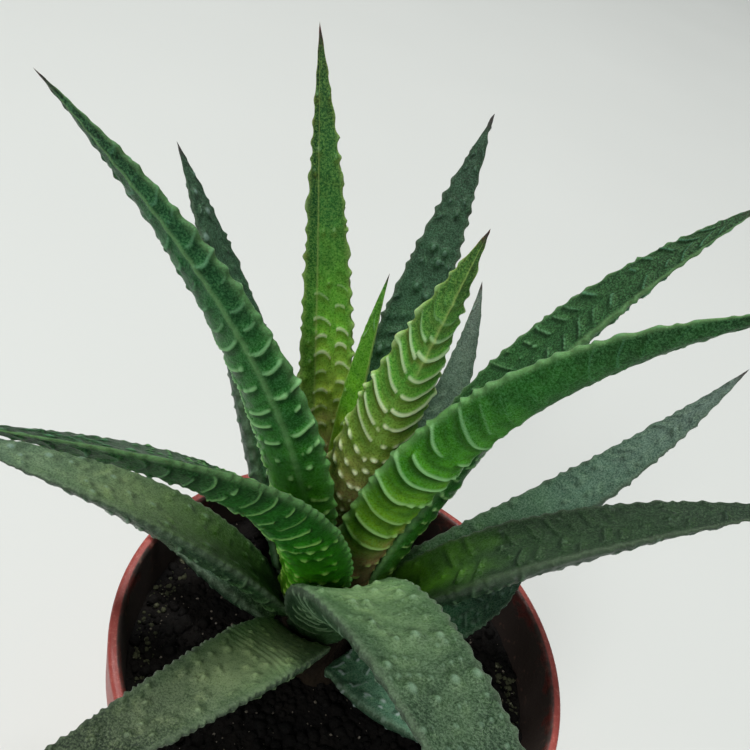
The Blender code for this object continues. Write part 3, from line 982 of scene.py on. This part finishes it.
TONES = {
    "leaf_heart": tone(YOUNG, (2.2, 2.0, 1.2), pale=0.5, glow=0.1, flank=0.15),
    "leaf_inner_front": tone(
        YOUNG,
        lower=stops((50, 360, 200, 120), (250, 360, 280, 110), (420, 260, 420, 60),
            (620, 120, 460, 50), (800, 90, 300, 50), (970, 40, 130, 30)),
        dark=(0.10, 0.09, 0.014), hollow=0.7, flank=0.25, pale=1.0,
    ),
    "leaf_centre": tone(
        YOUNG,
        upper=stops((50, 800, 420, 300), (200, 820, 580, 320), (320, 620, 820, 120),
            (480, 210, 620, 50), (700, 55, 240, 50), (970, 30, 100, 40)),
        dark=(0.14, 0.15, 0.014), shade=(0.70, 0.80, 0.60), hollow=0.6, flank=0.2,
    ),
    "leaf_upper_left": tone(
        GREEN,
        lower=stops((20, 200, 340, 10), (200, 80, 360, 8), (400, 30, 200, 22),
            (700, 14, 105, 32), (970, 20, 55, 30)),
    ),
    "leaf_arching_right": tone(
        GREEN,
        lower=stops((30, 400, 180, 120), (120, 340, 240, 80), (200, 240, 500, 15),
            (400, 90, 400, 10), (600, 22, 160, 12), (970, 12, 55, 20)),
        dark=(0.012, 0.045, 0.003), pale=0.95,
    ),
    "leaf_left_arching": tone(
        GREEN,
        lower=stops((20, 100, 260, 3), (200, 55, 360, 2), (400, 12, 150, 3),
            (650, 8, 60, 8), (970, 10, 40, 16)),
        upper=stops((20, 30, 100, 10), (500, 12, 50, 14), (970, 12, 35, 16)),
        crest=stops((50, 500, 800, 140), (400, 300, 620, 160), (800, 90, 240, 120)),
        speck=(0.05, 0.17, 0.05), specular=0.10,
    ),
    "leaf_upper_right": tone(GREEN, (0.9, 1.0, 0.7)),
    "leaf_back_left": tone(DULL, (1.0, 1.2, 1.0), speck=(0.08, 0.19, 0.11)),
    "leaf_back": tone(
        DULL, (1.0, 1.25, 1.0), pale=0.8, speck=(0.08, 0.19, 0.11),
        crest=stops((0, 180, 300, 240), (1000, 200, 320, 270)),
    ),
    "leaf_back_short": tone(DULL, (3.6, 2.6, 3.2), glow=0.1),
    "leaf_right_back": tone(DULL, (2.8, 2.3, 3.0)),
    "leaf_right_level": tone(
        DULL,
        upper=stops((30, 160, 420, 4), (200, 80, 250, 4), (400, 14, 48, 12),
            (970, 14, 34, 18)),
        speck=(0.09, 0.16, 0.08),
    ),
    "leaf_left_low": tone(
        DULL,
        upper=stops((50, 12, 75, 1), (300, 40, 120, 6), (550, 170, 250, 110),
            (800, 140, 220, 130), (970, 50, 110, 80)),
        speck=(0.15, 0.24, 0.12),
    ),
    "leaf_front": tone(
        DULL,
        upper=stops((50, 250, 460, 170), (300, 250, 400, 180), (500, 90, 160, 75),
            (700, 20, 52, 26), (970, 20, 45, 30)),
        crest=stops((50, 300, 460, 240), (500, 190, 310, 200), (970, 140, 240, 180)),
        speck=(0.15, 0.23, 0.14), flank=0.9,
    ),
    "leaf_front_left": tone(
        DULL,
        upper=stops((50, 100, 170, 40), (300, 340, 460, 210), (550, 140, 190, 100),
            (720, 35, 55, 28), (970, 20, 30, 18)),
        crest=stops((50, 300, 440, 200), (970, 200, 270, 180)),
        speck=(0.15, 0.20, 0.11), flank=0.9,
    ),
    "leaf_front_under": tone(
        DULL,
        upper=stops((50, 60, 180, 90), (500, 160, 360, 240), (970, 180, 340, 250)),
        lower=stops((50, 60, 160, 80), (970, 140, 280, 200)),
        crest=stops((0, 360, 460, 420), (1000, 360, 460, 420)),
        pale=1.0,
    ),
    "leaf_right_under": tone(DULL, (1.5, 2.2, 2.0)),
}

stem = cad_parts["stem"]
stem_points = corners_of(stem.data).astype(float)

SLOTS = dict.fromkeys(("leaf_heart", "leaf_inner_front", "leaf_centre"), "leaf_bright")
for green in ("upper_left", "arching_right", "left_arching", "upper_right", "back_left"):
    SLOTS["leaf_" + green] = "leaf_green"

for leaf_name, leaf_look in LOOKS.items():
    skin_mesh = leaf_skin(leaf_name, leaf_look, stem_points)
    finish = leaf_material(leaf_name + "_wax", TONES.get(leaf_name, DULL))
    dress(leaf_name + "_skin", skin_mesh, finish, (leaf_name,))


# ---------- pot

pot_lo, pot_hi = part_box("pot")
POT_TOP = pot_hi.z
POT_RIM_RADIUS = (pot_hi.x - pot_lo.x) / 2
WALL_TOP_RADIUS = POT_RIM_RADIUS - (RIM_BAND_THICKNESS - POT_WALL)


def outer_radius(height):
    return POT_FOOT_RADIUS + (WALL_TOP_RADIUS - POT_FOOT_RADIUS) * height / POT_TOP


def inner_radius(height):
    return outer_radius(height) - POT_WALL


def rounded(profile, radius, steps=4):
    """A profile with each inner corner rounded off."""
    made = [profile[0]]
    for before, corner, after in zip(profile, profile[1:], profile[2:]):
        corner_at = Vector(corner)
        ahead, back = Vector(after) - corner_at, Vector(before) - corner_at
        reach = min(radius, ahead.length * 0.45, back.length * 0.45)
        start, end = corner_at + back.normalized() * reach, corner_at + ahead.normalized() * reach
        for step in range(steps + 1):
            share = step / steps
            bent = start.lerp(corner_at, share).lerp(corner_at.lerp(end, share), share)
            made.append((bent.x, bent.y))
    made.append(profile[-1])
    return made


def turned(corners, angle):
    """Rings round +Z, one for each (radius, height)."""
    corners = np.asarray(corners)
    radius, height = corners[:, :1], np.broadcast_to(corners[:, 1:], (len(corners), len(angle)))
    return np.stack([radius * np.cos(angle), radius * np.sin(angle), height], axis=-1)


def lathe(name, profile, steps):
    """A closed shape turned round +Z from a profile that starts and ends on the axis."""
    points = turned(np.array(profile[1:-1], float), angles(steps))
    return closed_tube(name, points, (0, 0, profile[0][1]), (0, 0, profile[-1][1]))


band_foot = POT_TOP - RIM_BAND_HEIGHT
pot_profile = rounded(
    [
        (0.0, POT_FLOOR),
        (inner_radius(POT_FLOOR), POT_FLOOR),
        (inner_radius(POT_TOP * 0.5), POT_TOP * 0.5),
        (inner_radius(POT_TOP), POT_TOP),
        (POT_RIM_RADIUS, POT_TOP),
        (POT_RIM_RADIUS - 0.5 * MM, band_foot),
        (outer_radius(band_foot), band_foot),
        (outer_radius(POT_TOP * 0.4), POT_TOP * 0.4),
        (outer_radius(0.0), 0.0),
        (0.0, 0.0),
    ],
    0.8 * MM,
)
pot_mesh = lathe("pot_shell_mesh", pot_profile, 160)
pot_piece = link("pot_shell", pot_mesh)
for hole in range(DRAIN_HOLES):
    turn = FULL_TURN * hole / DRAIN_HOLES
    bm = bmesh.new()
    at = (DRAIN_RING_RADIUS * math.cos(turn), DRAIN_RING_RADIUS * math.sin(turn), POT_FLOOR / 2)
    bmesh.ops.create_cone(
        bm,
        cap_ends=True,
        segments=40,
        radius1=DRAIN_HOLE_RADIUS,
        radius2=DRAIN_HOLE_RADIUS,
        depth=4 * POT_FLOOR,
        matrix=Matrix.Translation(at),
    )
    cutter_mesh = bpy.data.meshes.new("drain_cutter")
    bm.to_mesh(cutter_mesh)
    bm.free()
    cutter = link("drain_cutter", cutter_mesh)
    boolean = pot_piece.modifiers.new("drain", "BOOLEAN")
    boolean.object = cutter
    boolean.solver = "EXACT"
    bpy.context.view_layer.update()
    drained = pot_piece.evaluated_get(bpy.context.evaluated_depsgraph_get())
    cut = bpy.data.meshes.new_from_object(drained)
    pot_piece.modifiers.clear()
    pot_piece.data = cut
    bpy.data.objects.remove(cutter)
pot_shell = pot_piece.data
pot_shell.name = "pot_shell_drained"
pot_shell.shade_smooth()
pot_shell.set_sharp_from_angle(angle=math.radians(40))
pot_points = corners_of(pot_shell)
pot_radius = np.hypot(pot_points[:, 0], pot_points[:, 1])
give(pot_shell, inside=pot_radius < outer_radius(pot_points[:, 2]) - POT_WALL * 0.6)
pot_shell.materials.clear()
pot_shell.materials.append(pot_material())
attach(pot_piece, BODY)
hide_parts("pot")


# ---------- peat, crumbs, grit and moss

soil_lo, soil_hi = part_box("soil")
SOIL_TOP = soil_hi.z
SOIL_RADIUS = (soil_hi.x - soil_lo.x) / 2
HEAP, CLOD = 9, 2.6  # millimetres across the peat's broad and small lumps
WALL_DIP, SURFACE_DIP = 1.1, 0.2  # millimetres it lies lower, by the pot wall and everywhere


def soil_height(x, y):
    """The peat's surface at a place, in metres."""
    mm_x, mm_y = x / MM, y / MM
    radius = np.hypot(mm_x, mm_y)
    rough = 0.75 * cloud(mm_x / HEAP, mm_y / HEAP, 0, 201, 3)
    rough = rough + 0.65 * cloud(mm_x / CLOD, mm_y / CLOD, 5, 211, 4)
    edge = smooth_step(36, 41, radius)
    return SOIL_TOP + (rough * (1 - 0.3 * edge) - WALL_DIP * edge - SURFACE_DIP) * MM


def soil_mesh():
    rings, steps = ((150, 420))
    radii = SOIL_RADIUS * np.sqrt(np.linspace(0, 1, rings + 1)[1:])
    angle = angles(steps)
    x, y = radii[:, None] * np.cos(angle), radii[:, None] * np.sin(angle)
    top = np.stack([x, y, soil_height(x, y)], axis=-1)
    floor = POT_FLOOR + FIT_GAP
    levels = np.linspace(SOIL_TOP - 4 * MM, floor, 6)
    wall = turned([(inner_radius(z) - FIT_GAP, z) for z in levels], angle)
    rows = np.concatenate([top, wall])
    middle = (0, 0, float(soil_height(0.0, 0.0)))
    return closed_tube("peat_mesh", rows, middle, (0, 0, floor))


SQUASH, SINK = 0.7, 0.25  # how flat the crumbs are, and how far they sink in


def strew(name, count, sizes, finish, seed, where=None):
    """Many small rough crumbs lying on the peat, joined as one piece; sizes in millimetres."""
    draw = np.random.default_rng(seed)
    bm = bmesh.new()
    bmesh.ops.create_icosphere(bm, subdivisions=1, radius=1.0)
    ball = np.array([v.co for v in bm.verts])
    faces = np.array([[v.index for v in f.verts] for f in bm.faces])
    bm.free()
    points, triangles, made = [], [], 0
    while made < count:
        radius = (SOIL_RADIUS - 0.8 * MM) * math.sqrt(draw.random())
        turn = draw.random() * FULL_TURN
        size = (sizes[0] + (sizes[1] - sizes[0]) * draw.random() ** 2.2) * MM
        spin = draw.normal(size=(3, 3))
        shape = 0.75 + 0.5 * draw.random(3)
        bumps = draw.random(len(ball))
        x, y = radius * math.cos(turn), radius * math.sin(turn)
        if where is not None and not where(x / MM, y / MM):
            continue
        attitude, _ = np.linalg.qr(spin)
        grain = (ball * shape * (0.8 + 0.4 * bumps)[:, None]) @ attitude.T * size
        grain[:, 2] *= SQUASH
        z = float(soil_height(x, y)) + size * (SQUASH - 2 * SINK)
        triangles.append(faces + made * len(ball))
        points.append(grain + (x, y, z))
        made += 1
    mesh = mesh_from(name + "_mesh", np.vstack(points), [], np.vstack(triangles))
    return dress(name, mesh, finish)


def by_the_wall(x, y):
    """Moss keeps to the damp edge of the peat, on the left and the right; in millimetres."""
    return math.hypot(x, y) > 36 and (x < -26 or x > 24) and y < 14


# The peat and its crumbs are near-black: partly the peat's own dark colour, partly painted shade in
# the pot under the rosette
peat = earth_material(
    "dark_peat", (0.0016, 0.0012, 0.001), (0.006, 0.0043, 0.003), (0.03, 0.023, 0.017)
)
dress("peat_filling", soil_mesh(), peat, ("soil",))
crumbs = earth_material(
    "peat_crumbs", (0.001, 0.0008, 0.0006), (0.005, 0.0036, 0.0026), (0.028, 0.021, 0.014)
)
strew("peat_crumb_bed", 2600, (0.25, 1.5), crumbs, 5)
grit = earth_material("pale_grit", (0.1, 0.085, 0.065), (0.24, 0.21, 0.17), (0.45, 0.42, 0.38), 0.6)
strew("grit_bed", 800, (0.12, 0.40), grit, 9)
moss = earth_material("dry_moss", (0.02, 0.022, 0.012), (0.08, 0.085, 0.045), (0.3, 0.3, 0.21), 0.6)
strew("moss_tufts", 330, (0.2, 0.8), moss, 13, by_the_wall)


# ---------- stem

bark = earth_material("dry_bark", (0.010, 0.007, 0.004), (0.030, 0.020, 0.011), (0.09, 0.065, 0.04))
stem.data.materials.clear()
stem.data.materials.append(bark)


# ---------- floor, light and camera

TABLE_REACH = 12.0
PLANT_MIDDLE = (0.0, 0.0, 0.09)
SUN_STRENGTH, SUN_ANGLE = 1.72, math.radians(14)
SUN_TILT = (math.radians(-14), math.radians(-10), 0)
# The studio's walls are pale near the table's edge and dim higher up: heights, then strengths
WALLS_FROM, WALLS_TO, WALLS_PALE, WALLS_DIM = 0.12, 0.45, 0.50, 0.18

table_corners = [(-1, -1, 0), (1, -1, 0), (1, 1, 0), (-1, 1, 0)]
table_corners = np.array(table_corners) * TABLE_REACH
floor = link("table_top", mesh_from("table_top", table_corners, [(0, 1, 2, 3)]))
n = Nodes("pale_table")
clouding = n.scaled(n.noise(3.0, 2), 0.3, 0.7)
n.set(base_color=n.mix(clouding, (0.65, 0.67, 0.65), (0.67, 0.69, 0.67)), roughness=0.7)
floor.data.materials.append(n.material)


def area_light(name, at, aim, size, power, colour):
    data = bpy.data.lights.new(name, "AREA")
    data.shape = "DISK"
    data.size, data.energy, data.color = size, power, colour
    light = link(name, data)
    light.location = at
    light.rotation_mode = "QUATERNION"
    light.rotation_quaternion = (Vector(aim) - Vector(at)).to_track_quat("-Z", "Y")


area_light("key", (-0.3, 0.1, 2.2), (0.0, 0.1, 0.0), 0.5, 15, (1.0, 1.0, 0.985))
area_light("front", (-0.5, -1.3, 1.1), PLANT_MIDDLE, 0.4, 8, (1.0, 1.0, 0.99))
sky = bpy.data.lights.new("overhead", "SUN")
sky.energy, sky.angle, sky.color = SUN_STRENGTH, SUN_ANGLE, (1.0, 1.0, 0.99)
link("overhead", sky).rotation_euler = SUN_TILT

world = bpy.data.worlds.new("studio")
bpy.context.scene.world = world
world.use_nodes = True
tree = world.node_tree
backdrop = tree.nodes["Background"].inputs
backdrop["Color"].default_value = (0.93, 0.97, 0.95, 1)
place = tree.nodes.new("ShaderNodeTexCoord")
parts = tree.nodes.new("ShaderNodeSeparateXYZ")
fall = tree.nodes.new("ShaderNodeMapRange")
fall.interpolation_type = "SMOOTHSTEP"
for socket, value in zip(fall.inputs[1:5], (WALLS_FROM, WALLS_TO, WALLS_PALE, WALLS_DIM)):
    socket.default_value = value
tree.links.new(place.outputs["Generated"], parts.inputs[0])
tree.links.new(parts.outputs["Z"], fall.inputs[0])
tree.links.new(fall.outputs[0], backdrop["Strength"])
bpy.context.scene.view_settings.view_transform = "Standard"

lens = bpy.data.cameras.new("camera")
lens.lens, lens.sensor_width = CAMERA_LENS, CAMERA_SENSOR
lens.clip_start, lens.clip_end = 0.01, 30
camera = link("camera", lens)
forward = Vector(CAMERA_FORWARD).normalized()
up = Vector(CAMERA_RIGHT).normalized().cross(forward).normalized()
right = forward.cross(up).normalized()
axes = Matrix((right, up, -forward)).transposed()
camera.matrix_world = Matrix.Translation(CAMERA_AT) @ axes.to_4x4()
bpy.context.scene.camera = camera
